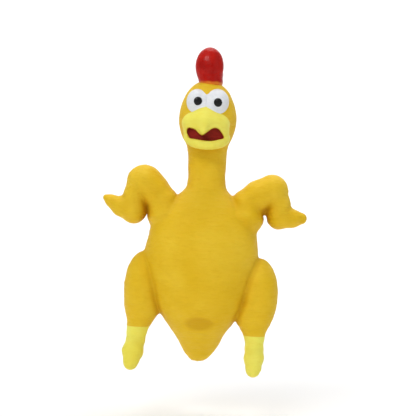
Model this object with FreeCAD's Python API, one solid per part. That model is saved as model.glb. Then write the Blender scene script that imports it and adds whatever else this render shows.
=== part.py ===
import FreeCAD, Part
import math
import os

from FreeCAD import Vector

# A squeaky rubber chicken: a hollow latex skin, fibre stuffing and a reed squeaker in the back.
# Millimetres. The bird faces -Y, its own left side is +X. Heights are drawn above the soles of the feet,
# and every solid is moved down by GRIP_HEIGHT when it is written, so that the origin is the centre of the
# hand's grip round the belly. The skin is one moulding; it is sliced here where the rubber bends, each
# *_flex node being the stretch that bends between two stretches that keep their shape.

GRIP_HEIGHT = 66.0
SKIN = 1.5  # latex wall
LIMB_Y = -1.0  # the wings' middle plane
STUFFING_GAP = 0.6  # between the stuffing and the skin
BIG = 400.0  # larger than the whole bird
OVAL_POINTS = 12  # points that a smooth oval curve passes through

# The trunk, tail to crown: height, middle in X, half width, front Y, back Y.
TRUNK = [
    (8.0, 0.5, 2.2, 4.5, 9.0),
    (12.0, 0.9, 7.6, -1.0, 13.0),
    (20.0, 1.3, 13.1, -8.0, 17.0),
    (32.0, 0.4, 20.7, -18.0, 21.0),
    (44.0, 0.0, 27.3, -26.0, 23.5),
    (60.0, -0.5, 33.3, -30.5, 25.0),
    (76.0, 0.0, 36.5, -30.5, 25.0),
    (92.0, 0.4, 33.4, -27.0, 23.5),
    (104.0, 0.6, 27.6, -21.5, 20.0),
    (112.0, 0.9, 20.6, -16.5, 16.5),
    (118.0, 1.2, 14.2, -13.2, 13.4),
    (126.0, 1.2, 11.8, -12.0, 12.2),
    (136.0, 1.0, 12.0, -12.0, 12.2),
    (145.0, 0.4, 13.1, -13.2, 13.2),
    (152.0, 0.1, 16.3, -16.5, 16.0),
    (161.0, 0.0, 18.2, -18.8, 18.5),
    (170.0, 0.0, 17.2, -18.6, 18.6),
    (178.0, -0.4, 13.8, -15.6, 16.4),
    (184.0, -0.5, 9.4, -10.0, 12.0),
    (187.0, -0.3, 4.0, -3.5, 6.0),
]
NECK_CUTS = (116.0, 126.0, 136.0, 146.0)  # torso | neck_base_flex | neck | throat_flex | head

# The round of belly that the thumb presses in, and the width of the rim round it that bends.
BELLY_HEIGHT = 66.0
BELLY_RADIUS = 17.0
BELLY_RIM = 8.0

# The wings' centre lines in the plane Y = LIMB_Y, as (distance out from the middle, height), and the groove
# between the folded wing's two halves, as its lower end and its upper end.
WINGS = {
    "right": {
        "shoulder": (24.5, 104.0), "elbow": (40.3, 121.8), "wrist": (44.9, 101.4), "tip": (61.8, 109.4),
        "groove": ((37.3, 101.0), (38.7, 108.5)),
    },
    "left": {
        "shoulder": (25.5, 104.5), "elbow": (44.2, 119.8), "wrist": (48.2, 102.2), "tip": (63.6, 103.0),
        "groove": ((40.5, 102.0), (41.9, 109.5)),
    },
}
WING_RADII = {"shoulder": 12.8, "elbow": 9.6, "wrist": 6.9, "tip": 2.8}
WING_ROOT_DEPTH = 14.0  # how far the wing's solid starts inside the torso
SHOULDER_FLEX = 10.0  # where the root's bending stretch ends, along the arm from the shoulder
WRIST_FLEX = (7.2, 12.0)  # the wingtip's bending stretch, as distances out from the wrist

# Thigh as an ellipsoid (distance out, Y, height) and its radii, then the shank and the foot's three centres.
LEGS = {
    "right": {
        "thigh": ((37.0, -4.0, 54.5), (11.2, 15.0, 24.5)),
        "shank": ((38.2, -4.0, 44.0), 9.6, (38.8, -4.0, 29.0), 6.1),
        "foot": ((39.6, -4.0, 19.0), 5.9, (40.4, -10.0, 13.4), 6.8, (41.3, -15.5, 6.5), 4.4),
        "paint_line": 29.5,
    },
    "left": {
        "thigh": ((38.0, -4.0, 52.5), (12.2, 15.0, 25.5)),
        "shank": ((37.2, -4.0, 42.0), 9.8, (36.3, -4.0, 26.5), 6.3),
        "foot": ((36.4, -4.0, 16.5), 6.0, (36.2, -9.5, 11.6), 6.3, (35.8, -14.5, 5.0), 4.7),
        "paint_line": 26.6,
    },
}
HIP_POINT = (31.5, 60.0)  # a point of the plane that the thigh lies against: distance out, height
HIP_TILT = 16.5  # degrees that the plane's outward normal dips
HIP_FLEX = 5.0
ANKLE_FLEX = (1.5, 7.5)  # below the paint line

# Comb lobes, front to back: middle X, Y, height, and radii.
COMB = [
    ((-0.4, -4.0, 197.2), (9.0, 7.8, 11.6)),
    ((0.8, 4.0, 193.5), (8.4, 6.8, 10.6)),
    ((0.6, 11.0, 188.5), (6.8, 5.8, 8.6)),
]
COMB_FLEX_TOP = 189.0

# Eyes: middle X, height, half width, half height; pupils: middle X, height, radius. The white stands
# PAINT proud of the skin, and the pupil PUPIL_PAINT.
EYES = {"right": (-7.4, 174.8, 6.2, 7.6), "left": (6.0, 175.0, 7.0, 8.2)}
PUPILS = {"right": (-7.0, 174.4, 2.6), "left": (5.9, 174.2, 2.6)}
EYE_MEETING_X = -1.4
PAINT = 0.8
PUPIL_PAINT = 1.2

# Beak: the hood, the lower lip and the hooked tip; and the mouth's outline as (x, height), clockwise.
HOOD = ((-0.5, -13.5, 160.0), (15.4, 14.0, 10.6))
LIP = ((-0.2, -13.0, 151.5), (14.9, 12.5, 8.1))
HOOK = ((-1.6, -22.5, 160.5), 6.5, (-2.3, -27.5, 154.0), 1.7)
MOUTH = [
    (-12.3, 154.6), (-10.8, 157.0), (-6.5, 155.5), (-2.3, 152.3), (1.0, 154.8), (4.6, 157.6),
    (8.2, 157.4), (12.1, 152.6), (8.0, 150.6), (4.4, 149.2), (-3.0, 149.0), (-10.2, 150.6),
]
MOUTH_FLOOR_Y = -20.0
BEAK_PARTING = 153.0  # height where the lip's corners meet the hood

# Squeaker, pressed into a collar moulded in the back, its axis along +Y.
SQUEAKER_HEIGHT = 62.0
COLLAR = {"radius": 13.6, "bore": 10.0, "inner_y": 14.5, "outer_y": 25.4}
SHELL_WALL = 1.2
FLANGE = {"radius": 12.2, "thickness": 1.1}
LEDGE = {"radius": 7.6, "y": 23.2, "thickness": 1.0}
REED_UNIT = {"radius": 5.0, "length": 5.3, "sleeve_wall": 1.2, "port": 4.2}
REED = {"width": 3.4, "length": 4.7, "thickness": 0.2, "clamped": 1.0}
REED_CLEARANCE = 0.1
REED_CHANNEL = {"inset": 0.4, "depth": 2.4, "relief": 1.8}  # room for the reed to beat
INLET = {"overlap": 1.0, "length": 2.0, "above_reed": 0.6}  # the air's way in through the port
SOUND_HOLES = {"middle": 1.6, "outer": 0.8, "ring": 4.8, "count": 6}


def beyond(point, normal):
    """A half space: everything on the side of the plane that the normal points to."""
    box = Part.makeBox(BIG, BIG, BIG, Vector(-BIG / 2, -BIG / 2, 0))
    box.Placement = FreeCAD.Placement(point, FreeCAD.Rotation(Vector(0, 0, 1), normal))
    return box


def above(height):
    return beyond(Vector(0, 0, height), Vector(0, 0, 1))


def between(low, high):
    """The slab between two heights."""
    return Part.makeBox(BIG, BIG, high - low, Vector(-BIG / 2, -BIG / 2, low))


def ellipsoid(centre, radii):
    matrix = FreeCAD.Matrix()
    matrix.scale(*radii)
    matrix.move(Vector(*centre))
    return Part.makeSphere(1.0).transformGeometry(matrix)


def largest(shape):
    """The largest solid, without the crumbs that a sharp corner can leave."""
    return max(shape.Solids, key=lambda solid: solid.Volume)


def cone(start, start_radius, end, end_radius):
    line = end - start
    if abs(start_radius - end_radius) < 0.01:
        return Part.makeCylinder(start_radius, line.Length, start, line)
    return Part.makeCone(start_radius, end_radius, line.Length, start, line)


def chain(points, radii):
    """A limb: a ball at each point but the first, joined by cones."""
    solid = None
    for start, start_radius, end, end_radius in zip(points, radii, points[1:], radii[1:]):
        for piece in (cone(start, start_radius, end, end_radius), Part.makeSphere(end_radius, end)):
            solid = piece if solid is None else solid.fuse(piece)
    return solid


def prism(wire, low_y, high_y):
    """A closed outline in the plane Y = 0, drawn out along Y."""
    face = Part.Face(wire)
    face.translate(Vector(0, low_y, 0))
    return face.extrude(Vector(0, high_y - low_y, 0))


def oval(centre, across, up):
    """A smooth closed curve about centre, whose half axes are the vectors across and up."""
    points = []
    for number in range(OVAL_POINTS):
        angle = 2 * math.pi * (number + 0.5) / OVAL_POINTS
        points.append(centre + across * math.cos(angle) + up * math.sin(angle))
    curve = Part.BSplineCurve()
    curve.interpolate(points, PeriodicFlag=True)
    return Part.Wire(curve.toShape())


def oval_prism(x, height, half_width, half_height, low_y, high_y):
    wire = oval(Vector(x, 0, height), Vector(half_width, 0, 0), Vector(0, 0, half_height))
    return prism(wire, low_y, high_y)


def trunk(inset):
    """The trunk from tail to crown, its surface moved in by inset."""
    sections = []
    last = len(TRUNK) - 1
    for number, (height, x, half_width, front, back) in enumerate(TRUNK):
        half_depth = (back - front) / 2
        if min(half_width, half_depth) - inset < 1.0:
            continue
        height += {0: inset, last: -inset}.get(number, 0)
        centre = Vector(x, (front + back) / 2, height)
        sections.append(oval(centre, Vector(half_width - inset, 0, 0), Vector(0, half_depth - inset, 0)))
    return Part.makeLoft(sections, True, False)


def wing_points(side):
    sign = 1 if side == "left" else -1
    named = {name: Vector(sign * WINGS[side][name][0], LIMB_Y, WINGS[side][name][1]) for name in WING_RADII}
    arm = (named["elbow"] - named["shoulder"]).normalize()
    named["root"] = named["shoulder"] - arm * WING_ROOT_DEPTH
    return named, arm


def wing(side, inset):
    points, _ = wing_points(side)
    order = ["root", "elbow", "wrist", "tip"]
    return chain([points[name] for name in order], [radius - inset for radius in WING_RADII.values()])


def groove_inner_side(side):
    """The half space on the torso's side of the groove between the folded wing's halves."""
    sign = 1 if side == "left" else -1
    (low_out, low_height), (high_out, high_height) = WINGS[side]["groove"]
    along = Vector(sign * (high_out - low_out), 0, high_height - low_height)
    inward = Vector(-sign * along.z, 0, sign * along.x)
    return beyond(Vector(sign * low_out, 0, low_height), inward)


def out_past(side, distance):
    """Everything further out from the middle than distance."""
    sign = 1 if side == "left" else -1
    return beyond(Vector(sign * distance, 0, 0), Vector(sign, 0, 0))


def wing_parts(side, body):
    points, arm = wing_points(side)
    skin = wing(side, 0).cut(wing(side, SKIN)).cut(body)
    root = skin.cut(beyond(points["shoulder"] + arm * SHOULDER_FLEX, arm)).common(groove_inner_side(side))
    flex_start, flex_end = (out_past(side, WINGS[side]["wrist"][0] + step) for step in WRIST_FLEX)
    return {
        f"{side}_shoulder_flex": root,
        f"{side}_wing": skin.cut(root).cut(flex_start),
        f"{side}_wrist_flex": skin.common(flex_start).cut(flex_end),
        f"{side}_wingtip": skin.common(flex_end),
    }


def sided(side, point):
    return Vector(point[0] if side == "left" else -point[0], point[1], point[2])


def leg(side, inset):
    shape = LEGS[side]
    centre, radii = shape["thigh"]
    thigh = ellipsoid(sided(side, centre), [radius - inset for radius in radii])
    knee, knee_radius, hock, hock_radius = shape["shank"]
    ankle, ankle_radius, ball, ball_radius, toe, toe_radius = shape["foot"]
    points = [sided(side, point) for point in (knee, hock, ankle, ball, toe)]
    radii = [knee_radius, hock_radius, ankle_radius, ball_radius, toe_radius]
    return thigh.fuse(chain(points, [radius - inset for radius in radii]))


def hip_plane(side, distance):
    """The half space further out than distance from the plane that the thigh lies against."""
    tilt = math.radians(HIP_TILT)
    normal = sided(side, (math.cos(tilt), 0, -math.sin(tilt)))
    return beyond(sided(side, (HIP_POINT[0], 0, HIP_POINT[1])) + normal * distance, normal)


def leg_parts(side, body):
    skin = leg(side, 0).cut(leg(side, SKIN)).cut(body)
    line = LEGS[side]["paint_line"]
    thigh_side = hip_plane(side, HIP_FLEX)
    upper = skin.common(above(line))
    stuffing = leg(side, SKIN + STUFFING_GAP).common(hip_plane(side, HIP_FLEX + STUFFING_GAP))
    return {
        f"{side}_hip_flex": upper.cut(thigh_side),
        f"{side}_thigh": upper.common(thigh_side),
        f"{side}_shank": skin.common(between(line - ANKLE_FLEX[0], line)),
        f"{side}_ankle_flex": skin.common(between(line - ANKLE_FLEX[1], line - ANKLE_FLEX[0])),
        f"{side}_foot": skin.cut(above(line - ANKLE_FLEX[1])),
        f"{side}_thigh_stuffing": stuffing.common(above(line + STUFFING_GAP)),
    }


def round_about_squeaker(radius, low_y, high_y):
    return Part.makeCylinder(radius, high_y - low_y, Vector(0, low_y, SQUEAKER_HEIGHT), Vector(0, 1, 0))


def belly_round(radius):
    return Part.makeCylinder(radius, BIG, Vector(0, 0, BELLY_HEIGHT), Vector(0, -1, 0))


def trunk_parts(outer, inner, limb_cavities):
    collar = round_about_squeaker(COLLAR["radius"], COLLAR["inner_y"], COLLAR["outer_y"])
    bore = round_about_squeaker(COLLAR["bore"], COLLAR["inner_y"], COLLAR["outer_y"])
    skin = outer.cut(inner)
    neck_base, neck_low, neck_top, head_base = NECK_CUTS
    torso = skin.cut(above(neck_base)).fuse(collar).cut(bore)
    for cavity in limb_cavities:
        torso = torso.cut(cavity)
    stuffing = trunk(SKIN + STUFFING_GAP)
    pocket = round_about_squeaker(COLLAR["radius"] + STUFFING_GAP, COLLAR["inner_y"] - STUFFING_GAP, BIG / 2)
    return {
        "torso": torso.cut(belly_round(BELLY_RADIUS + BELLY_RIM)),
        "belly_rim_flex": torso.common(belly_round(BELLY_RADIUS + BELLY_RIM)).cut(belly_round(BELLY_RADIUS)),
        "belly_press_patch": torso.common(belly_round(BELLY_RADIUS)),
        "neck_base_flex": skin.common(between(neck_base, neck_low)),
        "neck": skin.common(between(neck_low, neck_top)),
        "throat_flex": skin.common(between(neck_top, head_base)),
        "head": skin.common(above(head_base)),
        "torso_stuffing": stuffing.cut(above(neck_base - STUFFING_GAP)).cut(pocket),
        "neck_stuffing": stuffing.common(between(neck_low + STUFFING_GAP, neck_top - STUFFING_GAP)),
        "head_stuffing": stuffing.common(above(head_base + STUFFING_GAP)),
    }


def face_parts(outer):
    """Eyes and pupils as thick paint on the head, and the beak round its mouth."""
    parts = {}
    white = trunk(-PAINT)
    black = trunk(-PUPIL_PAINT)
    middle = beyond(Vector(EYE_MEETING_X, 0, 0), Vector(1, 0, 0))
    for side, (x, height, half_width, half_height) in EYES.items():
        eye = white.cut(outer).common(oval_prism(x, height, half_width, half_height, -BIG / 2, 0))
        x, height, radius = PUPILS[side]
        pupil = black.cut(white).common(oval_prism(x, height, radius, radius, -BIG / 2, 0))
        parts[f"{side}_eye"] = eye.common(middle) if side == "left" else eye.cut(middle)
        parts[f"{side}_pupil"] = pupil
    hook_start, hook_radius, hook_end, tip_radius = HOOK
    hook = chain([Vector(*hook_start), Vector(*hook_end)], [hook_radius, tip_radius])
    outline = Part.makePolygon([Vector(x, 0, height) for x, height in MOUTH + MOUTH[:1]])
    mouth = prism(outline, -BIG / 2, 0)
    hood = ellipsoid(*HOOD).fuse(hook)
    lip = ellipsoid(*LIP)
    eyes = [parts[f"{side}_{part}"] for side in EYES for part in ("eye", "pupil")]
    parts["upper_beak"] = hood.cut(outer).cut(mouth).cut(Part.makeCompound(eyes))
    parts["lower_beak"] = largest(lip.cut(outer).cut(mouth).cut(hood).cut(above(BEAK_PARTING)))
    floor = Part.makeBox(BIG, -MOUTH_FLOOR_Y, BIG, Vector(-BIG / 2, MOUTH_FLOOR_Y, 0))
    parts["mouth_lining"] = mouth.common(floor).common(hood.fuse(lip)).cut(outer)
    return parts


def comb_parts(outer):
    solid = None
    for centre, radii in COMB:
        lobe = ellipsoid(centre, radii)
        solid = lobe if solid is None else solid.fuse(lobe)
    solid = solid.cut(outer)
    return {"comb_root_flex": solid.cut(above(COMB_FLEX_TOP)), "comb": solid.common(above(COMB_FLEX_TOP))}


def squeaker_parts():
    inner_y, outer_y = COLLAR["inner_y"], COLLAR["outer_y"]
    bore, unit = COLLAR["bore"], REED_UNIT
    floor_y = inner_y + SHELL_WALL
    unit_end = floor_y + unit["length"]
    cup = round_about_squeaker(bore, inner_y, outer_y)
    flange = round_about_squeaker(FLANGE["radius"], outer_y, outer_y + FLANGE["thickness"])
    mouth = round_about_squeaker(bore - SHELL_WALL, LEDGE["y"] + LEDGE["thickness"], BIG / 2)
    ledge = round_about_squeaker(LEDGE["radius"], LEDGE["y"], BIG / 2)
    hollow = round_about_squeaker(bore - SHELL_WALL, floor_y, LEDGE["y"])
    sleeve = round_about_squeaker(unit["radius"] + unit["sleeve_wall"], floor_y, unit_end)
    seat = round_about_squeaker(unit["radius"], floor_y, BIG / 2)
    port = round_about_squeaker(unit["port"], 0, BIG / 2)
    shell = cup.fuse(flange).cut(hollow).cut(mouth).cut(ledge).fuse(sleeve).cut(seat).cut(port)

    cover_back = LEDGE["y"] + LEDGE["thickness"]
    cover = round_about_squeaker(bore - SHELL_WALL, cover_back, outer_y + FLANGE["thickness"])
    cover = cover.cut(round_about_squeaker(SOUND_HOLES["middle"], 0, BIG / 2))
    for number in range(SOUND_HOLES["count"]):
        angle = 2 * math.pi * number / SOUND_HOLES["count"]
        hole = round_about_squeaker(SOUND_HOLES["outer"], 0, BIG / 2)
        hole.translate(Vector(math.cos(angle), 0, math.sin(angle)) * SOUND_HOLES["ring"])
        cover = cover.cut(hole)

    half_width, half_thick = REED["width"] / 2, REED["thickness"] / 2
    clamp_end = floor_y + REED["clamped"]
    reed = Part.makeBox(
        REED["width"], REED["length"], REED["thickness"],
        Vector(-half_width, floor_y, SQUEAKER_HEIGHT - half_thick),
    )
    pocket_x, pocket_z = half_width + REED_CLEARANCE, half_thick + REED_CLEARANCE
    pocket = Part.makeBox(
        2 * pocket_x, unit["length"], 2 * pocket_z,
        Vector(-pocket_x, floor_y, SQUEAKER_HEIGHT - pocket_z),
    )
    channel_x = half_width - REED_CHANNEL["inset"]
    depth = REED_CHANNEL["depth"]
    channel = Part.makeBox(
        2 * channel_x, unit["length"], depth,
        Vector(-channel_x, clamp_end, SQUEAKER_HEIGHT - depth),
    )
    relief = Part.makeBox(
        2 * pocket_x, unit["length"], REED_CHANNEL["relief"],
        Vector(-pocket_x, clamp_end, SQUEAKER_HEIGHT),
    )
    inlet = Part.makeBox(
        2 * channel_x, INLET["length"], depth,
        Vector(-channel_x, floor_y - INLET["overlap"], SQUEAKER_HEIGHT + INLET["above_reed"]),
    )
    unit_round = round_about_squeaker(unit["radius"], floor_y, unit_end)
    return {
        "squeaker_shell": shell,
        "squeaker_cover": cover,
        "reed_trough": unit_round.cut(above(SQUEAKER_HEIGHT)).cut(pocket).cut(channel),
        "reed_clamp": unit_round.common(above(SQUEAKER_HEIGHT)).cut(pocket).cut(relief).cut(inlet),
        "reed": reed,
    }


def main():
    os.makedirs("parts", exist_ok=True)
    outer, inner = trunk(0), trunk(SKIN)
    cavities = [wing(side, SKIN) for side in WINGS] + [leg(side, SKIN) for side in LEGS]
    parts = trunk_parts(outer, inner, cavities)
    for side in WINGS:
        parts.update(wing_parts(side, outer))
        parts.update(leg_parts(side, outer))
    parts.update(face_parts(outer))
    parts.update(comb_parts(outer))
    parts.update(squeaker_parts())
    for name, shape in parts.items():
        shape = shape.removeSplitter()
        shape.translate(Vector(0, 0, -GRIP_HEIGHT))
        volumes = [round(solid.Volume, 1) for solid in shape.Solids]
        print(name, shape.isValid(), volumes)
        Part.makeCompound(shape.Solids).exportStep(f"parts/{name}.step")


main()
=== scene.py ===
import math

import bmesh
import bpy
import numpy as np
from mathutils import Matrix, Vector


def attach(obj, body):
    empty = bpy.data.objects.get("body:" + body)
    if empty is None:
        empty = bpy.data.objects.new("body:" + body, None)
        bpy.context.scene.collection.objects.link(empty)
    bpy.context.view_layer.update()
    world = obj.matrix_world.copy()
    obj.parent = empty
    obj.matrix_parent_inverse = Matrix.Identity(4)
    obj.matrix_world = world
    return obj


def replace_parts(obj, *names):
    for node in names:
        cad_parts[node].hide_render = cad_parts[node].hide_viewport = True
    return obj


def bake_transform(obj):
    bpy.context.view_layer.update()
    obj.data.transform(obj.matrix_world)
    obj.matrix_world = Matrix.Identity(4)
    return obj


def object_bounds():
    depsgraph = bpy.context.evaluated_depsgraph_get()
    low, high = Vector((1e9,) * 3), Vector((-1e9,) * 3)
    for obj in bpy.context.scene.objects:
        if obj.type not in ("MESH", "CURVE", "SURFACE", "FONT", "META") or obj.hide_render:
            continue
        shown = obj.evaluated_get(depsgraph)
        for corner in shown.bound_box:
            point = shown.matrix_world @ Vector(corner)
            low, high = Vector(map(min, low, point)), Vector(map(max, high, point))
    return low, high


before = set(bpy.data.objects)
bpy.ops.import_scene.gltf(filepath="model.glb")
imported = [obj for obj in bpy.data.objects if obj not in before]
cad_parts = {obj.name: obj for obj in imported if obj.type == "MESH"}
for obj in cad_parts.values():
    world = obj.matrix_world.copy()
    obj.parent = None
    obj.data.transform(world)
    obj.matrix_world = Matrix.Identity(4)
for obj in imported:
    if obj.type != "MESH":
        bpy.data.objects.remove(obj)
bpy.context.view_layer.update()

import openvdb
from mathutils import Matrix, Vector

# Shapes are drawn in millimetres. X is the bird's left, Y its back, and heights are counted from the soles.
MM = 0.001
SOLES = -66.0  # height of the soles in the row frame
SIDES = {"right": -1, "left": 1}

SKIN_STEP = 0.75  # grid of the skin's field
FINE_STEP = 0.45  # grid of the comb and beak
FILL_STEP = 1.3  # grid of the stuffing
CUT_REACH = 2.0  # how far from a cut its faces are looked for
EVENING_ROUNDS = 3  # of a new mesh
SKIN_WALL, BEAK_WALL, MOUTH_WALL = 1.3, 0.9, 0.4
MOUTH_COAT = 0.12  # how far the mouth's paint stands off the beak
STUFFING_DEPTH = 2.2  # below the skin's outer surface
LUMP = 0.45
FLOOR_DROP = 0.03  # metres from the bird down to the studio floor

# The trunk, tail to crown: height, middle in X, half width, front Y, back Y.
TRUNK = [
    (7.2, 0.5, 0.6, 6.2, 7.4), (7.8, 0.6, 3.1, 3.6, 9.4), (9.0, 0.8, 5.3, 1.4, 11.2),
    (11.6, 1.0, 7.9, -1.2, 12.8),
    (16.0, 1.2, 10.9, -4.8, 14.8), (20.0, 1.3, 13.1, -8.6, 16.4), (24.0, 0.9, 15.3, -12.0, 18.0),
    (32.0, 0.5, 20.9, -18.6, 21.0), (40.0, 0.1, 26.0, -24.0, 23.0), (50.0, -0.2, 30.4, -28.2, 24.6),
    (60.0, -0.4, 33.2, -30.4, 25.2), (70.0, -0.2, 35.6, -30.8, 25.2), (78.0, 0.0, 36.2, -30.0, 24.8),
    (86.0, 0.3, 34.9, -28.4, 24.0), (94.0, 0.5, 33.5, -26.0, 23.0), (102.0, 0.6, 29.6, -22.4, 21.0),
    (109.0, 0.8, 23.6, -18.6, 18.2), (114.0, 1.0, 17.6, -15.4, 15.4), (118.0, 1.1, 13.6, -13.4, 13.6),
    (124.0, 1.1, 12.1, -12.1, 12.3), (132.0, 0.9, 12.2, -12.0, 12.2), (140.0, 0.8, 12.4, -12.3, 12.5),
    (146.0, 0.5, 13.4, -13.4, 13.6), (152.0, 0.1, 16.3, -16.2, 16.0), (158.0, 0.0, 18.0, -18.2, 18.0),
    (164.0, 0.0, 18.4, -18.8, 18.6), (170.0, -0.1, 17.5, -18.2, 18.4), (176.0, -0.2, 15.5, -16.6, 17.0),
    (181.0, -0.2, 12.8, -13.6, 14.4), (185.0, -0.4, 8.6, -9.8, 11.0), (187.0, -0.4, 5.2, -6.0, 7.6),
]

# Each wing as (distance out, height, radius) from the shoulder to the elbow, and from there to the tip.
# The web of latex closes the top of the armpit.
WING_Y = -1.0
WING_DEPTH = 1.3  # depth of a wing over its breadth
WINGS = {
    "right": {
        "upper": [(24.3, 101.3, 11.7), (26.0, 108.5, 9.4), (32.5, 116.5, 9.4), (37.6, 121.6, 9.6),
                  (39.2, 122.0, 9.7)],
        "fore": [(40.6, 121.2, 9.2), (44.2, 111.0, 7.3), (44.6, 102.3, 7.6), (52.6, 104.7, 5.9),
                 (59.5, 108.3, 3.5), (62.8, 110.1, 1.8)],
    },
    "left": {
        "upper": [(26.3, 102.2, 12.7), (27.0, 109.0, 9.4), (35.0, 115.6, 9.4), (43.2, 119.6, 10.0)],
        "web": [(38.8, 110.0, 4.2), (39.4, 105.6, 2.4)],
        "fore": [(44.2, 119.0, 9.2), (48.0, 110.0, 7.1), (48.2, 102.6, 7.2), (56.6, 102.2, 5.5),
                 (62.6, 102.4, 3.8)],
    },
}
# Where the latex bends: distances from the first to the last, along out and up, between saddle and armpit.
SHOULDER_WAY = (0.78, 0.63)
SHOULDER_IN = 12.0
WING_LOW, WING_HIGH = 90.0, 140.0
SHOULDER_BEND = {"right": (84.9, 93.2), "left": (86.5, 95.9)}
WRIST_BEND = {"right": (52.1, 57.0), "left": (55.4, 60.2)}
WRIST_HEIGHT, WRIST_LOW, WRIST_TOP = 104, 85.0, 109.5
NECK_SIDES = (-15.7, 17.9)  # the neck's column in X, out to the shoulder saddles
SADDLE_TOP = 124.0

# Each leg: the thigh's middle and radii, then balls (distance out, Y, height, radius) at the crotch and down
# to the toe.
LEGS = {
    "right": {
        "thigh": ((36.7, -4.0, 53.0), (11.5, 14.0, 24.0)),
        "web": (32.5, -4.0, 41.8, 7.6),
        "shank": [(37.6, -4.0, 42.0, 8.4), (37.7, -4.0, 33.0, 6.8), (38.7, -4.0, 27.0, 5.9),
                  (39.1, -4.0, 22.0, 5.8)],
        "foot": [(39.5, -5.0, 19.5, 5.9), (40.5, -9.5, 13.6, 6.4), (41.1, -14.5, 8.2, 4.7),
                 (41.2, -16.2, 7.0, 3.9)],
        "paint_line": 29.5,
    },
    "left": {
        "thigh": ((37.5, -4.0, 52.2), (12.4, 14.0, 23.4)),
        "web": (31.9, -4.0, 39.2, 8.8),
        "shank": [(36.0, -4.0, 40.0, 8.6), (35.3, -4.0, 32.0, 7.2), (36.1, -4.0, 26.5, 6.0),
                  (36.1, -4.0, 20.0, 5.6)],
        "foot": [(36.3, -5.0, 17.0, 5.9), (36.2, -9.0, 12.4, 5.9), (35.9, -13.5, 7.2, 4.7),
                 (35.8, -15.2, 5.5, 3.9)],
        "paint_line": 26.6,
    },
}
HIP_POINT = (31.5, 60.0)
HIP_TILT = math.radians(16.5)
HIP_BEND = (0.0, 6.0)  # outwards from the hip plane
HIP_TOP = 80.0
HIP_IN, ANKLE_IN = 18.0, 26.0  # no nearer to the middle are the leg's cuts made
ANKLE_BEND = (-1.5, -7.5)  # below the paint line
NECK_BEND = (115.5, 127.5)
THROAT_BEND = (134.5, 144.5)
BELLY_BEND = (-14.0, -30.0)  # Y
BELLY_HEIGHT = 66
FILL_BEND = (-2.0, -26.0)  # Y, for the fibre behind the belly
SQUEAKER = (0.0, 62.0)  # its axis, in X and height
COLLAR_RADIUS, COLLAR_FACE = 13.6, 25.3
BORE_RADIUS, BORE_FLOOR = 10.3, 13.0
COMB = [((-0.4, -4.0, 196.2), (9.0, 7.8, 12.3)), ((0.9, -2.0, 187.0), (7.7, 9.4, 6.8)),
        ((1.2, 3.4, 191.8), (7.4, 6.8, 9.6)), ((0.8, 10.6, 188.2), (6.6, 5.8, 8.0))]
COMB_BEND = (184.5, 190.0)
BEAK_PARTING = 151.4  # height where the hood ends and the lip begins

# Eyes: middle X, height, half width, half height. Pupils: middle X, height, radius.
EYES = {"right": (-7.5, 173.0, 6.4, 7.9), "left": (5.8, 173.3, 7.1, 8.2)}
PUPILS = {"right": (-6.6, 172.7, 2.7), "left": (5.9, 172.4, 2.7)}
EYES_MEET = -1.5
EYES_BRIDGE = (-1.2, 169.8, 4.6)  # the white between the eyes: middle X, height, radius
MOUTH = [  # its outline: X, height
    (-12.6, 153.2), (-12.4, 155.0), (-11.2, 155.8), (-9.3, 155.4), (-7.2, 154.5), (-5.4, 152.8),
    (-3.2, 151.3), (-1.4, 152.1), (1.0, 154.1), (3.2, 155.7), (5.2, 156.2), (7.2, 155.6),
    (9.0, 153.7), (10.4, 151.4), (10.0, 150.0), (7.6, 149.2), (4.5, 148.2), (1.0, 147.8),
    (-3.0, 148.1), (-7.0, 148.7), (-10.4, 149.3), (-11.8, 151.0),
]
MOUTH_FLOOR, MOUTH_BOW = -19.8, 0.03  # the floor's Y in the middle, and how fast it curves back to the sides
# Shade is painted into the latex over the vent's dimple, round this middle and at this scale.
VENT_AT = (0.0005, -0.022, -0.0324)  # the middle of the vent's dimple, in metres in the row frame
VENT_SCALE = (1.0, 0.3, 2.0)
# The beak: (centre, radii) of the hood and its fill, balls (X, Y, height, radius) of the ridge and the tip, and
# the lip's arc as its values at the corners and what is added in the middle.
BEAK_HOOD = ((-1.1, -13.2, 159.2), (15.1, 11.6, 8.9))
BEAK_FILL = ((-0.3, -11.4, 153.0), (14.3, 10.4, 8.0))
BEAK_RIDGE = [(-1.8, -14.8, 165.2, 5.8), (-2.2, -20.4, 160.2, 5.0)]
BEAK_TIP = [(-2.2, -22.6, 158.8, 4.0), (-2.3, -26.6, 153.4, 2.1)]
LIP_HALF = 11.7
LIP_CORNER = (-9.0, 151.2, 3.0)  # Y, height, radius
LIP_BULGE = (-12.0, -5.2, 0.4)
BELLY_PIMPLES = [(-9.0, -30.0, 73.0), (-7.6, -30.2, 74.6), (-10.2, -29.8, 71.6)]
PIMPLES_TOP = 160.0


def smoothstep(t):
    t = np.clip(t, 0.0, 1.0)
    return t * t * (3.0 - 2.0 * t)


def smooth_min(a, b, soft):
    """The nearer of two solids, rounded over a width of soft where they meet."""
    h = np.maximum(soft - np.abs(a - b), 0.0) / soft
    return np.minimum(a, b) - h * h * soft * 0.25


def smooth_max(a, b, soft):
    return -smooth_min(-a, -b, soft)


def ball_chain(points, x, y, z, soft):
    """Round limbs through (x, y, z, radius) points, each taper rounded into the next."""
    whole = None
    for (ax, ay, az, ar), (bx, by, bz, br) in zip(points, points[1:]):
        ux, uy, uz = bx - ax, by - ay, bz - az
        t = ((x - ax) * ux + (y - ay) * uy + (z - az) * uz) / (ux * ux + uy * uy + uz * uz)
        t = np.clip(t, 0.0, 1.0)
        away = np.sqrt((x - ax - t * ux) ** 2 + (y - ay - t * uy) ** 2 + (z - az - t * uz) ** 2)
        piece = away - (ar + (br - ar) * t)
        whole = piece if whole is None else smooth_min(whole, piece, soft)
    return whole


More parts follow.
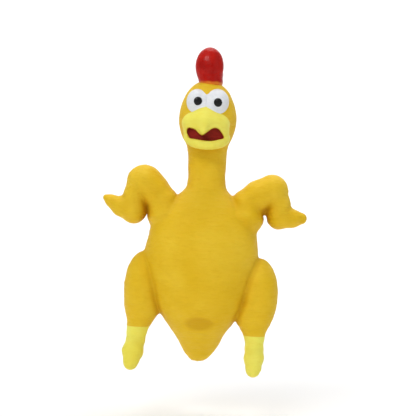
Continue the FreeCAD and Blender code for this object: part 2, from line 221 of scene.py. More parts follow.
def ellipsoid(centre, radii, x, y, z):
    u, v, w = ((c - m) / r for c, m, r in zip((x, y, z), centre, radii))
    near = np.sqrt(u * u + v * v + w * w) + 1e-6
    slope = np.sqrt((u / radii[0]) ** 2 + (v / radii[1]) ** 2 + (w / radii[2]) ** 2) + 1e-6
    return near * (near - 1.0) / slope


def spline(table, heights):
    """The columns of a table whose first column is height, on a smooth curve through its rows."""
    table = np.array(table)
    known = table[:, 0]
    slopes = np.gradient(table, known, axis=0)
    i = np.clip(np.searchsorted(known, heights) - 1, 0, len(known) - 2)
    span = (known[i + 1] - known[i])[:, None]
    t = np.clip((heights - known[i])[:, None] / span, 0.0, 1.0)
    a, b = table[i], table[i + 1]
    return (
        (2 * t**3 - 3 * t**2 + 1) * a + (t**3 - 2 * t**2 + t) * span * slopes[i]
        + (3 * t**2 - 2 * t**3) * b + (t**3 - t**2) * span * slopes[i + 1]
    )[:, 1:].T


def stacked(table, x, y, z):
    """Ovals of a table stacked along the height."""
    heights = z.ravel().astype(float)
    middle, half, front, back = (c.astype(np.float32)[None, None, :] for c in spline(table, heights))
    depth = np.maximum((back - front) / 2, 0.3)
    half = np.maximum(half, 0.3)
    u, v = (x - middle) / half, (y - (front + back) / 2) / depth
    near = np.sqrt(u * u + v * v) + 1e-4
    d = near * (near - 1.0) / (np.sqrt((u / half) ** 2 + (v / depth) ** 2) + 1e-5)
    if len(heights) > 2:
        lean = np.gradient(d, heights[1] - heights[0], axis=2)
        d = d / np.sqrt(1.0 + np.minimum(lean * lean, 25.0))
    beyond = np.maximum(table[0][0] - z, z - table[-1][0])
    return np.where(beyond > 0, np.sqrt(np.maximum(d, 0.0) ** 2 + beyond * beyond), d)


def within(d, low, high, shape, soft, grid):
    """d joined with a shape that only reaches a box of the grid."""
    x, y, z = grid
    cut = []
    for axis, a, b in zip((x.ravel(), y.ravel(), z.ravel()), low, high):
        i, j = np.searchsorted(axis, (a, b))
        cut.append(slice(int(i), int(j)))
    part = d[cut[0], cut[1], cut[2]]
    if part.size:
        near = shape(x[cut[0]], y[:, cut[1]], z[:, :, cut[2]])
        part[...] = smooth_min(part, near, soft)
    return d


def wing(side, x, y, z):
    sign, shape = SIDES[side], WINGS[side]
    flat = (y - WING_Y) / WING_DEPTH
    upper = ball_chain([(sign * out, 0.0, up, r) for out, up, r in shape["upper"]], x, flat, z, 3.0)
    fore = ball_chain([(sign * out, 0.0, up, r) for out, up, r in shape["fore"]], x, flat, z, 3.0)
    d = smooth_min(upper, fore, 1.2)
    if "web" in shape:
        web = ball_chain([(sign * out, 0.0, up, r) for out, up, r in shape["web"]], x, flat, z, 1.0)
        d = smooth_min(d, web, 1.0)
    return d


def leg(side, x, y, z):
    sign, shape = SIDES[side], LEGS[side]
    (out, depth, up), radii = shape["thigh"]
    thigh = ellipsoid((sign * out, depth, up), radii, x, y, z)
    out, depth, up, r = shape["web"]
    web = np.sqrt((x - sign * out) ** 2 + (y - depth) ** 2 + (z - up) ** 2) - r
    thigh = smooth_min(thigh, web, 5.0)
    shank = ball_chain([(sign * out, depth, up, r) for out, depth, up, r in shape["shank"]], x, y, z, 3.0)
    foot = ball_chain([(sign * out, depth, up, r) for out, depth, up, r in shape["foot"]], x, y, z, 2.0)
    return smooth_min(smooth_min(thigh, shank, 4.0), foot, 2.0)


def eye_bulges(x, y, z):
    d = None
    for middle, up, half, tall in EYES.values():
        bulge = ellipsoid((middle * 0.96, -9.6, up - 0.2), (half + 0.2, 8.6, tall + 0.1), x, y, z)
        d = bulge if d is None else smooth_min(d, bulge, 2.6)
    return d


def beak_body(x, y, z):
    """The beak before its mouth is opened."""
    hood = ellipsoid(*BEAK_HOOD, x, y, z)
    fill = ellipsoid(*BEAK_FILL, x, y, z)
    bridge = ball_chain(BEAK_RIDGE, x, y, z, 1.0)
    tip = ball_chain(BEAK_TIP, x, y, z, 1.0)
    lip_points = []
    for a in np.linspace(math.pi, 0.0, 13):
        arc = [corner + bulge * math.sin(a) for corner, bulge in zip(LIP_CORNER, LIP_BULGE)]
        lip_points.append((LIP_HALF * math.cos(a), *arc))
    lip = ball_chain(lip_points, x, y, z, 1.0)
    d = smooth_min(smooth_min(hood, fill, 3.0), bridge, 4.0)
    return smooth_min(smooth_min(d, tip, 2.0), lip, 1.0)


def outline_distance(points, x, z):
    """Signed distance to a closed smooth outline in the plane of X and height, negative inside."""
    dense = closed_curve(points, 6)
    best = np.full(np.broadcast(x, z).shape, 1e9, np.float32)
    inside = np.zeros(best.shape, bool)
    for (ax, az), (bx, bz) in zip(dense, np.roll(dense, -1, axis=0)):
        ux, uz = bx - ax, bz - az
        t = np.clip(((x - ax) * ux + (z - az) * uz) / (ux * ux + uz * uz), 0.0, 1.0)
        best = np.minimum(best, (x - ax - t * ux) ** 2 + (z - az - t * uz) ** 2)
        crosses = (az > z) != (bz > z)
        inside ^= crosses & (x < ax + (z - az) * ux / (uz if abs(uz) > 1e-9 else 1e-9))
    return np.where(inside, -np.sqrt(best), np.sqrt(best)).astype(np.float32)


def closed_curve(points, steps):
    """Points along a closed Catmull-Rom curve."""
    p = np.array(points, float)
    before, after, later = np.roll(p, 1, axis=0), np.roll(p, -1, axis=0), np.roll(p, -2, axis=0)
    t = (np.arange(steps) / steps)[None, :, None]
    a, b, c, d = (q[:, None, :] for q in (before, p, after, later))
    curve = 0.5 * (2 * b + (c - a) * t + (2 * a - 5 * b + 4 * c - d) * t**2 + (3 * b - a - 3 * c + d) * t**3)
    return curve.reshape(-1, 2)


def mouth_hollow(x, y, z):
    """The open mouth: the outline's prism down to its floor."""
    return smooth_max(outline_distance(MOUTH, x, z), y - MOUTH_FLOOR - MOUTH_BOW * x * x, 1.4)


def beak(x, y, z):
    return smooth_max(beak_body(x, y, z), -mouth_hollow(x, y, z), 0.7)


def comb(x, y, z):
    d = None
    for centre, radii in COMB:
        lobe = ellipsoid(centre, radii, x, y, z)
        d = lobe if d is None else smooth_min(d, lobe, 1.8)
    return d


def skin(x, y, z):
    """The whole latex skin's outer surface, without the comb and the beak."""
    d = stacked(TRUNK, x, y, z)
    d = within(d, (-20, -26, 164), (20, 2, 186), eye_bulges, 1.2, (x, y, z))
    d = within(d, (-22, -32, 138), (22, 4, 174), lambda *p: beak(*p) + 0.9, 3.4, (x, y, z))
    for side, sign in SIDES.items():
        low, high = sorted((sign * 8, sign * 72))
        d = within(d, (low, -26, 84), (high, 24, 138), lambda *p: wing(side, *p), 1.8, (x, y, z))
        low, high = sorted((sign * 18, sign * 56))
        d = within(d, (low, -30, -6), (high, 20, 86), lambda *p: leg(side, *p), 2.2, (x, y, z))
    away = np.sqrt((x - SQUEAKER[0]) ** 2 + (z - SQUEAKER[1]) ** 2) + 0 * y
    collar = np.maximum(away - COLLAR_RADIUS, np.maximum(y - COLLAR_FACE, 10.0 - y))
    d = smooth_min(d, collar, 2.4)
    bore = np.maximum(away - BORE_RADIUS, BORE_FLOOR - y)
    return smooth_max(d, -bore, 0.8)


class Field:
    """Signed distances in millimetres on a box of grid points."""

    def __init__(self, low, high, step):
        self.low, self.step = np.array(low, float), step
        self.axes = [np.arange(a, b + step, step).astype(np.float32) for a, b in zip(low, high)]

    def grid(self):
        x, y, z = self.axes
        return x[:, None, None], y[None, :, None], z[None, None, :]

    def draw(self, distance):
        self.d = np.ascontiguousarray(distance(*self.grid()), np.float32)
        return self

    def sample(self, points, values=None):
        """Values between the grid's points."""
        values = self.d if values is None else values
        p = (points - self.low) / self.step
        top = np.array(values.shape) - 2
        i = np.clip(np.floor(p).astype(int), 0, top)
        f = p - i
        total = 0.0
        for corner in range(8):
            o = np.array([corner & 1, corner >> 1 & 1, corner >> 2 & 1])
            weight = np.prod(np.where(o, f, 1.0 - f), axis=1)
            total = total + weight * values[tuple((i + o).T)]
        return total

    def mesh(self):
        """Vertices and quads of the surface, evened out and set back on it."""
        volume = openvdb.FloatGrid(background=float(self.d.max()))
        volume.copyFromArray(self.d)
        points, quads = volume.convertToQuads(isovalue=0.0)
        points = points.astype(float) * self.step + self.low
        quads = quads.astype(int)
        slopes = np.gradient(self.d, self.step)
        edges = np.vstack([quads[:, [i, (i + 1) % 4]] for i in range(4)])
        count = np.bincount(edges.ravel(), minlength=len(points))[:, None]
        for _ in range(EVENING_ROUNDS):
            total = np.zeros_like(points)
            for k in range(3):
                total[:, k] = np.bincount(edges[:, 0], points[edges[:, 1], k], len(points))
                total[:, k] += np.bincount(edges[:, 1], points[edges[:, 0], k], len(points))
            points = points + 0.5 * (total / count - points)
            slope = np.stack([self.sample(points, s) for s in slopes], axis=1)
            points -= slope * (self.sample(points) / np.maximum((slope**2).sum(1), 0.2))[:, None]
        a, b, c = (points[quads[:, k]] for k in range(3))
        if (a * np.cross(b, c)).sum() < 0:
            quads = quads[:, ::-1]
        return points, quads


def noise(points, size, seed):
    """Smooth random values from -1 to 1, changing over size along each axis."""
    p = points / np.array(size, float)
    i = np.floor(p).astype(int)
    f = smoothstep(p - i)
    lattice = np.random.default_rng(seed).uniform(-1.0, 1.0, (64, 64, 64))
    total = 0.0
    for corner in range(8):
        o = np.array([corner & 1, corner >> 1 & 1, corner >> 2 & 1])
        total = total + np.prod(np.where(o, f, 1.0 - f), axis=1) * lattice[tuple(((i + o) % 64).T)]
    return total


def vertex_normals(points, quads):
    n = np.zeros_like(points)
    cross = np.cross(points[quads[:, 2]] - points[quads[:, 0]], points[quads[:, 3]] - points[quads[:, 1]])
    for k in range(4):
        for axis in range(3):
            n[:, axis] += np.bincount(quads[:, k], cross[:, axis], len(points))
    return n / np.maximum(np.linalg.norm(n, axis=1), 1e-9)[:, None]


def relief(points):
    """How far the cast latex stands in or out of its plain shape, in millimetres."""
    x, y, z = points.T
    body = 1.0 - smoothstep((z - 112.0) / 16.0)
    face = smoothstep((z - 163.0) / 4.0) * (y < -6.0)
    lumps = 0.26 * noise(points, (13, 13, 9), 1) + 0.12 * noise(points, (6, 6, 3.4), 2)
    wrinkles = 0.14 * noise(points, (6.5, 6.5, 2.1), 3) * (0.35 + 0.65 * body)
    front = smoothstep(-y / 8.0)
    dimple = -0.9 * np.exp(-((((x - 0.5) / 8.6) ** 2 + ((z - 33.6) / 4.3) ** 2) ** 1.5)) * front
    ridge = 0.35 * np.exp(-(((z - 27.4) / 1.3) ** 2) - ((x - 0.5) / 9.5) ** 2) * front
    return (lumps * (0.25 + 0.75 * body) + wrinkles) * (1.0 - 0.9 * face) + dimple + ridge


def add_pimples(points, normals, count, seed):
    """Small bumps left by bubbles in the mould, everywhere but on the face."""
    rng = np.random.default_rng(seed)
    chosen = rng.choice(len(points), count, replace=False)
    centres = np.vstack([points[chosen], BELLY_PIMPLES])
    widths = rng.uniform(0.6, 1.1, len(centres))
    heights = rng.uniform(0.08, 0.26, len(centres))
    rise = np.zeros(len(points))
    for centre, width, height in zip(centres, widths, heights):
        if centre[2] > PIMPLES_TOP:
            continue
        near = np.abs(points - centre).max(axis=1) < 4 * width
        rise[near] += height * np.exp(-((points[near] - centre) ** 2).sum(1) / width**2)
    return points + normals * rise[:, None]


def shade(field, points, normals):
    """How closed in each point is, from 0 in the open to 1 deep in a crease, for the shade painted into the
    colour.
    """
    total = 0.0
    for reach in (1.5, 3.0, 6.0, 9.0):
        total = total + np.clip((reach - field.sample(points + normals * reach)) / reach, 0.0, 1.0) / 4.0
    return total


def evened(values, quads, rounds):
    """Values on vertices, averaged with their neighbours' a number of times."""
    edges = np.vstack([quads[:, [i, (i + 1) % 4]] for i in range(4)])
    count = np.bincount(edges.ravel(), minlength=len(values))
    for _ in range(rounds):
        total = np.bincount(edges[:, 0], values[edges[:, 1]], len(values))
        total += np.bincount(edges[:, 1], values[edges[:, 0]], len(values))
        values = 0.4 * values + 0.6 * total / count
    return values


def place(points):
    """Millimetres over the soles to metres in the row frame."""
    return (np.asarray(points) + (0.0, 0.0, SOLES)) * MM


def make(name, points, faces, material, normals=None, painted_shades=None, mouth=None):
    """An object from points in millimetres, which keeps their places at rest for its material."""
    mesh = bpy.data.meshes.new(name)
    mesh.from_pydata(place(points).tolist(), [], [list(map(int, f)) for f in faces])
    mesh.validate()
    rest = mesh.attributes.new("rest", "FLOAT_VECTOR", "POINT")
    rest.data.foreach_set("vector", place(points).astype(np.float32).ravel())
    painted_shades = np.zeros(len(points)) if painted_shades is None else painted_shades
    # Points keep the painted shade, from how closed in they are, and the mouth's edge for the materials.
    for attribute, values in (("tone", painted_shades), ("mouth", mouth)):
        if values is not None:
            layer = mesh.attributes.new(attribute, "FLOAT", "POINT")
            layer.data.foreach_set("value", values.astype(np.float32))
    mesh.shade_smooth()
    if normals is not None:
        mesh.normals_split_custom_set_from_vertices(normals.tolist())
    mesh.materials.append(material)
    piece = bpy.data.objects.new(name, mesh)
    bpy.context.scene.collection.objects.link(piece)
    return piece


def closed(faces, count):
    """A sheet's faces, the same faces on a second sheet of count more points, and the rim between the two."""
    ways = {}
    for f in faces:
        for a, b in zip(f, f[1:] + f[:1]):
            ways[(a, b)] = True
    rim = [[b, a, a + count, b + count] for a, b in ways if (b, a) not in ways]
    return faces + [[v + count for v in reversed(f)] for f in faces] + rim


def shell(name, points, normals, painted_shades, faces, material, wall=SKIN_WALL, mouth=None):
    """A closed piece of skin: the outer faces, the inner wall and the cut edges between them."""
    used = sorted({v for f in faces for v in f})
    to_new = {v: i for i, v in enumerate(used)}
    faces = [[to_new[v] for v in f] for f in faces]
    p, n, t = points[used], normals[used], painted_shades[used]
    count = len(used)
    mouth = None if mouth is None else np.concatenate([mouth[used]] * 2)
    return make(name, np.vstack([p, p - n * wall]), closed(faces, count), material,
                np.vstack([n, -n]), np.concatenate([t, t]), mouth)


def bent(piece, joint, start, end):
    """Sets the piece's place into its mesh. Joint, start and end, which are points in millimetres over the
    soles, are not used.
    """
    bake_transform(piece)


# Materials
def linear(*color):
    """A colour given as on a screen, from 0 to 255, in the linear values of a shader."""
    shares = [c / 255 for c in color]
    return tuple(c / 12.92 if c <= 0.04045 else ((c + 0.055) / 1.055) ** 2.4 for c in shares) + (1.0,)


class Nodes:
    """A material's node tree, built call by call."""

    def __init__(self, name, **inputs):
        self.material = bpy.data.materials.new(name)
        self.material.use_nodes = True
        self.tree = self.material.node_tree
        self.shader = self.tree.nodes["Principled BSDF"]
        for key, value in inputs.items():
            self.shader.inputs[key.replace("_", " ")].default_value = value

    def add(self, kind, inputs=(), **settings):
        node = self.tree.nodes.new(kind)
        for key, value in settings.items():
            setattr(node, key, value)
        for key, value in dict(inputs).items():
            self.set(node.inputs[key], value)
        return node

    def set(self, socket, value):
        if isinstance(value, bpy.types.NodeSocket):
            self.tree.links.new(value, socket)
        else:
            socket.default_value = value

    def rest(self):
        return self.add("ShaderNodeAttribute", attribute_name="rest").outputs["Vector"]

    def tone(self):
        return self.add("ShaderNodeAttribute", attribute_name="tone").outputs["Fac"]

    def scaled(self, vector, scale):
        return self.add("ShaderNodeMapping", {"Vector": vector, "Scale": scale}).outputs["Vector"]

    def noise(self, vector, scale, detail=3.0, roughness=0.55):
        inputs = {"Vector": vector, "Scale": scale, "Detail": detail, "Roughness": roughness}
        return self.add("ShaderNodeTexNoise", inputs).outputs["Fac"]

    def ramp(self, value, low, high, to_low=0.0, to_high=1.0):
        inputs = {"Value": value, "From Min": low, "From Max": high, "To Min": to_low, "To Max": to_high}
        return self.add("ShaderNodeMapRange", inputs).outputs["Result"]

    def plus(self, a, b):
        node = self.add("ShaderNodeMath", operation="ADD")
        self.set(node.inputs[0], a)
        self.set(node.inputs[1], b)
        return node.outputs["Value"]

    def distance(self, a, b):
        node = self.add("ShaderNodeVectorMath", operation="DISTANCE")
        self.set(node.inputs[0], a)
        self.set(node.inputs[1], b)
        return node.outputs["Value"]

    def mix(self, share, a, b):
        node = self.add("ShaderNodeMix", data_type="RGBA")
        self.set(node.inputs["Factor"], share)
        self.set(node.inputs["A"], a)
        self.set(node.inputs["B"], b)
        return node.outputs["Result"]

    def bump(self, height, distance, normal=None):
        inputs = {"Height": height, "Distance": distance, "Strength": 1.0}
        if normal is not None:
            inputs["Normal"] = normal
        return self.add("ShaderNodeBump", inputs).outputs["Normal"]

    def finish(self, color, normal, roughness=None):
        self.set(self.shader.inputs["Base Color"], color)
        self.set(self.shader.inputs["Normal"], normal)
        if roughness is not None:
            self.set(self.shader.inputs["Roughness"], roughness)
        return self.material


def latex(name, light, plain, deep, crease, wrinkle=1.0, inside=None):
    """Matte cast latex: cloudy colour, painted shade that deepens it in creases, fine level wrinkles, pores and
    grain.
    """
    m = Nodes(name, Roughness=0.58, Subsurface_Weight=0.12, Subsurface_Radius=(0.0022, 0.0012, 0.0004),
              Subsurface_Scale=0.6, Specular_IOR_Level=0.18)
    rest, tone = m.rest(), m.tone()
    cloud = m.noise(rest, 38.0, 4.0)
    mottle = m.noise(m.scaled(rest, (190.0, 190.0, 700.0)), 1.0, 5.0, 0.62)
    color = m.mix(m.ramp(cloud, 0.36, 0.66), plain, light)
    color = m.mix(m.ramp(mottle, 0.5, 0.85, 0.0, 0.34), color, deep)
    # Painted shade over the vent's dimple: the colour darkens in an oval there.
    vent = m.distance(m.scaled(rest, VENT_SCALE), tuple(a * b for a, b in zip(VENT_AT, VENT_SCALE)))
    color = m.mix(m.ramp(vent, 0.0065, 0.0105, 0.75, 0.0), color, deep)
    # Painted shade: darker, then deeper orange, where the skin is closed in.
    color = m.mix(m.ramp(tone, 0.16, 0.48, 0.0, 0.7), color, deep)
    color = m.mix(m.ramp(tone, 0.46, 0.8, 0.0, 0.6), color, crease)
    if inside is not None:
        edge = m.add("ShaderNodeAttribute", attribute_name="mouth").outputs["Fac"]
        ragged = m.plus(edge, m.ramp(m.noise(rest, 500.0, 2.0), 0.2, 0.8, -0.2, 0.2))
        color = m.mix(m.ramp(ragged, -0.15, 0.1, 1.0, 0.0), color, inside)
    level = m.noise(m.scaled(rest, (150.0, 150.0, 900.0)), 1.0, 4.0, 0.6)
    fine = m.noise(m.scaled(rest, (420.0, 420.0, 2100.0)), 1.0, 3.0, 0.6)
    grain = m.noise(rest, 2300.0, 2.0)
    pores = m.add("ShaderNodeTexVoronoi", {"Vector": rest, "Scale": 420.0}).outputs["Distance"]
    normal = m.bump(level, 0.0006 * wrinkle)
    normal = m.bump(fine, 0.00022 * wrinkle, normal)
    normal = m.bump(m.ramp(pores, 0.0, 0.22, 1.0, 0.0), 0.00012, normal)
    normal = m.bump(grain, 0.00012, normal)
    return m.finish(color, normal, m.ramp(mottle, 0.3, 0.8, 0.5, 0.68))


# Each latex: lighter and plain cloud colours, a deep colour for its mottle and for painted shade, and the
# deeper orange of the shade painted into creases. The lemon's last value sets its wrinkles.
YELLOW_TONES = [linear(238, 199, 46), linear(230, 187, 24), linear(212, 162, 6), linear(198, 136, 4)]
LEMON_TONES = [linear(244, 236, 104), linear(238, 224, 82), linear(226, 200, 56), linear(204, 166, 46), 0.35]
YELLOW = latex("yellow_latex", *YELLOW_TONES)
LEMON = latex("lemon_latex", *LEMON_TONES)
MOUTH_RED = linear(150, 26, 4)
BEAK_LEMON = latex("beak_latex", *LEMON_TONES, inside=MOUTH_RED)


def comb_paint():
    """Glossy red over the latex, thin and orange where it ends at the head."""
    m = Nodes("red_latex", Roughness=0.34, Specular_IOR_Level=0.12, Coat_Weight=0.16, Coat_Roughness=0.1)
    rest = m.rest()
    height = m.add("ShaderNodeSeparateXYZ", {"Vector": rest}).outputs["Z"]
    uneven = m.plus(height, m.ramp(m.noise(rest, 260.0, 2.0), 0.2, 0.8, -0.0004, 0.0004))
    base = (COMB_BEND[0] + SOLES) * MM
    color = m.mix(m.ramp(m.noise(rest, 130.0, 4.0), 0.35, 0.7), linear(164, 8, 0), linear(192, 18, 2))
    # Painted shade: the red goes dark where the comb is closed in.
    color = m.mix(m.ramp(m.tone(), 0.1, 0.5, 0.0, 0.7), color, linear(96, 6, 4))
    color = m.mix(m.ramp(uneven, base + 0.0008, base + 0.0022, 1.0, 0.0), color, linear(226, 128, 26))
    normal = m.bump(m.noise(rest, 300.0, 3.0), 0.0005)
    normal = m.bump(m.noise(rest, 1400.0, 2.0), 0.00006, normal)
    return m.finish(color, normal, m.ramp(m.noise(rest, 420.0, 3.0), 0.3, 0.7, 0.24, 0.36))


def paint(name, main, other, roughness, coat=0.0):
    """Brushed-on paint with faint strokes and an uneven gloss."""
    m = Nodes(name, Roughness=roughness, Specular_IOR_Level=0.22, Coat_Weight=coat, Coat_Roughness=0.06)
    rest = m.rest()
    strokes = m.noise(m.scaled(rest, (420.0, 420.0, 1008.0)), 1.0, 4.0)
    color = m.mix(m.ramp(strokes, 0.35, 0.72), main, other)
    shadow = tuple(c * 0.45 for c in other[:3]) + (1.0,)
    color = m.mix(m.ramp(m.tone(), 0.3, 0.75, 0.0, 0.5), color, shadow)
    gloss = m.ramp(strokes, 0.3, 0.7, roughness * 0.85, roughness * 1.15)
    return m.finish(color, m.bump(strokes, 0.00016), gloss)


def fibre():
    """White polyester fibre: tangled strands with a soft sheen."""
    m = Nodes("fibre_stuffing", Roughness=0.9, Sheen_Weight=0.5)
    rest = m.rest()
    bent_way = m.add("ShaderNodeTexNoise", {"Vector": rest, "Scale": 160.0, "Detail": 3.0}).outputs["Color"]
    tangled = m.add("ShaderNodeMix", {"Factor": 0.02}, data_type="VECTOR")
    m.set(tangled.inputs["A"], rest)
    m.set(tangled.inputs["B"], bent_way)
    inputs = {"Vector": tangled.outputs["Result"], "Scale": 380.0, "Distortion": 14.0, "Detail": 3.0}
    strands = m.add("ShaderNodeTexWave", inputs).outputs["Fac"]
    return m.finish(m.mix(strands, linear(206, 204, 198), linear(244, 243, 238)), m.bump(strands, 0.0005))


def moulded_plastic(name, main, other, roughness):
    """Plain moulded plastic on a carried-over part, which has no rest attribute."""
    m = Nodes(name, Roughness=roughness)
    place_at = m.add("ShaderNodeTexCoord").outputs["Object"]
    cloud = m.noise(place_at, 180.0, 3.0)
    spark = m.noise(place_at, 3200.0, 2.0)
    color = m.mix(m.ramp(cloud, 0.3, 0.7), main, other)
    gloss = m.ramp(cloud, 0.3, 0.7, roughness * 0.85, roughness * 1.2)
    return m.finish(color, m.bump(spark, 0.00005), gloss)


RED = comb_paint()
MOUTH_PAINT = paint("mouth_paint", MOUTH_RED, linear(128, 16, 2), 0.6)
EYE_PAINT = paint("eye_paint", linear(232, 234, 238), linear(222, 225, 230), 0.42, 0.15)
PUPIL_PAINT = paint("pupil_paint", linear(10, 10, 11), linear(16, 15, 15), 0.3, 0.15)
FIBRE = fibre()
PLASTIC = moulded_plastic("squeaker_plastic", linear(236, 234, 226), linear(224, 222, 212), 0.4)
REED = moulded_plastic("reed_film", linear(214, 222, 226), linear(196, 206, 212), 0.22)

# Skin
field = Field((-76, -42, -10), (78, 38, 198), SKIN_STEP).draw(skin)
points, quads = field.mesh()
normals = vertex_normals(points, quads)
# Painted shade: how closed in each point of the skin is, evened out, for the colour to darken in creases.
plain_painted_shades = evened(shade(field, points, normals), quads, 10)
points = points + normals * relief(points)[:, None]
points = add_pimples(points, normals, 170, 11)


def out(side, p):
    """How far points are out to that side."""
    return p[:, 0] * SIDES[side]


def shoulder_reach(side, p):
    """How far points are along the shoulder's way out and up."""
    return SHOULDER_WAY[0] * out(side, p) + SHOULDER_WAY[1] * p[:, 2]


def past_hip(away, height):
    """How far outwards of the hip's tilted plane something is, from its distance out and its height."""
    return math.cos(HIP_TILT) * (away - HIP_POINT[0]) - math.sin(HIP_TILT) * (height - HIP_POINT[1])


def hip_reach(side, p):
    return past_hip(out(side, p), p[:, 2])


def at_shoulder(side, p):
    """Points near enough to the shoulder for its cuts."""
    return (out(side, p) > SHOULDER_IN) & (p[:, 2] > WING_LOW) & (p[:, 2] < WING_HIGH)


def in_neck(p):
    return (p[:, 2] > NECK_BEND[0]) & (p[:, 0] > NECK_SIDES[0]) & (p[:, 0] < NECK_SIDES[1])


def in_wing(side, p):
    """The arm beyond the shoulder's first bend."""
    return at_shoulder(side, p) & (shoulder_reach(side, p) > SHOULDER_BEND[side][0]) & ~in_neck(p)


def in_tip(side, p, edge):
    """The wing beyond the wrist's first or last bend, and not the left elbow, which is as far out."""
    beyond = out(side, p) > WRIST_BEND[side][edge]
    return in_wing(side, p) & beyond & ((p[:, 2] < WRIST_TOP) | (side == "right"))


def in_leg(side, p):
    return (hip_reach(side, p) > HIP_BEND[0]) & (p[:, 2] < HIP_TOP) & (out(side, p) > 20.0)


def owners(p):
    """The name of the piece that each point of the skin belongs to."""
    z = p[:, 2]
    name = np.full(len(p), "torso_skin", dtype=object)
    name[(p[:, 1] < BELLY_BEND[0]) & (z < NECK_BEND[0])] = "belly_skin"
    for side in SIDES:
        paint_line = LEGS[side]["paint_line"]
        leg_here, wing_here = in_leg(side, p), in_wing(side, p)
        name[leg_here] = f"{side}_hip_skin"
        name[leg_here & (hip_reach(side, p) > HIP_BEND[1])] = f"{side}_leg_skin"
        name[leg_here & (z < paint_line)] = f"{side}_ankle_skin"
        name[leg_here & (z < paint_line + ANKLE_BEND[1])] = f"{side}_foot_skin"
        name[wing_here] = f"{side}_shoulder_skin"
        name[wing_here & (shoulder_reach(side, p) > SHOULDER_BEND[side][1])] = f"{side}_wing_skin"
        name[in_tip(side, p, 0)] = f"{side}_wrist_skin"
        name[in_tip(side, p, 1)] = f"{side}_wingtip_skin"
    neck = in_neck(p)
    name[neck] = "neck_base_skin"
    name[neck & (z > NECK_BEND[1])] = "neck_skin"
    name[neck & (z > THROAT_BEND[0])] = "throat_skin"
    name[z > THROAT_BEND[1]] = "head_skin"
    return name


def bend_points(side, joint):
    """The first and last point of a bend across a limb, and its direction."""
    sign = SIDES[side]
    if joint == "shoulder":
        x, z = SHOULDER_WAY
        points = [(sign * r * x / (x * x + z * z), 0, r * z / (x * x + z * z)) for r in SHOULDER_BEND[side]]
        return points, (sign * x, 0, z)
    if joint == "wrist":
        return [(sign * r, 0, WRIST_HEIGHT) for r in WRIST_BEND[side]], (1, 0, 0)
    if joint == "hip":
        x, z = math.cos(HIP_TILT), -math.sin(HIP_TILT)
        points = [(sign * (HIP_POINT[0] + x * r), 0, HIP_POINT[1] + z * r) for r in HIP_BEND]
        return points, (sign * x, 0, z)
    return [(0, 0, LEGS[side]["paint_line"] + h) for h in ANKLE_BEND], (0, 0, 1)


def cuts():
    """Each cut as (point, normal, which face middles it is made among)."""
    up, left, back = (0, 0, 1), (1, 0, 0), (0, 1, 0)
    neck_low, neck_high = NECK_SIDES
    found = []
    for height in NECK_BEND + THROAT_BEND:
        found.append(((0, 0, height), up, lambda p: (p[:, 0] > neck_low - 1) & (p[:, 0] < neck_high + 1)))
    for edge in NECK_SIDES:
        found.append(((edge, 0, 0), left, lambda p: (p[:, 2] > NECK_BEND[0] - 1) & (p[:, 2] < SADDLE_TOP)))
    found.append(((0, BELLY_BEND[0], 0), back, lambda p: p[:, 2] < NECK_BEND[0] + 1))
    for side in SIDES:
        among = {
            "shoulder": lambda p, s=side: at_shoulder(s, p),
            "wrist": lambda p: p[:, 2] > WRIST_LOW,
            "hip": lambda p, s=side: (out(s, p) > HIP_IN) & (p[:, 2] < HIP_TOP),
        }
        for joint, chosen in among.items():
            ends, way = bend_points(side, joint)
            found += [(at, way, chosen) for at in ends]
        for height in (0.0, ANKLE_BEND[1]):
            at = (0, 0, LEGS[side]["paint_line"] + height)
            found.append((at, up, lambda p, s=side: out(s, p) > ANKLE_IN))
    return found


bm = bmesh.new()
painted_shade_layer = bm.verts.layers.float.new("tone")
made = [bm.verts.new(p) for p in points.tolist()]
for v, tone in zip(made, plain_painted_shades.tolist()):
    v[painted_shade_layer] = tone
for q in quads.tolist():
    bm.faces.new([made[v] for v in q])
bm.verts.ensure_lookup_table()
for at, way, among in cuts():
    bm.faces.ensure_lookup_table()
    way = Vector(way).normalized()
    side_of = np.array([(v.co - Vector(at)).dot(way) for v in bm.verts])
    bm.verts.index_update()
    centres = np.array([f.calc_center_median() for f in bm.faces])
    near = np.nonzero(among(centres) & (np.abs((centres - np.array(at)) @ np.array(way)) < CUT_REACH))[0]
    crossed = []
    for i in near:
        heights = [side_of[v.index] for v in bm.faces[i].verts]
        if min(heights) < 0 < max(heights):
            crossed.append(bm.faces[i])
    geom = set(crossed)
    for f in crossed:
        geom.update(f.edges)
        geom.update(f.verts)
    bmesh.ops.bisect_plane(bm, geom=list(geom), dist=0.02, plane_co=at, plane_no=way)
bm.normal_update()
bm.verts.index_update()
bm.faces.ensure_lookup_table()
points = np.array([v.co for v in bm.verts])
normals = np.array([v.normal for v in bm.verts])
painted_shades = np.array([v[painted_shade_layer] for v in bm.verts])
faces = [[v.index for v in f.verts] for f in bm.faces]
centres = np.array([f.calc_center_median() for f in bm.faces])
bm.free()
piece_names = owners(centres)
skins = {}
for name in sorted(set(piece_names)):
    mine = [faces[i] for i in np.nonzero(piece_names == name)[0]]
    material, slot = (LEMON, "lemon_latex") if "ankle" in name or "foot" in name else (YELLOW, "yellow_latex")
    skins[name] = shell(name, points, normals, painted_shades, mine, material)

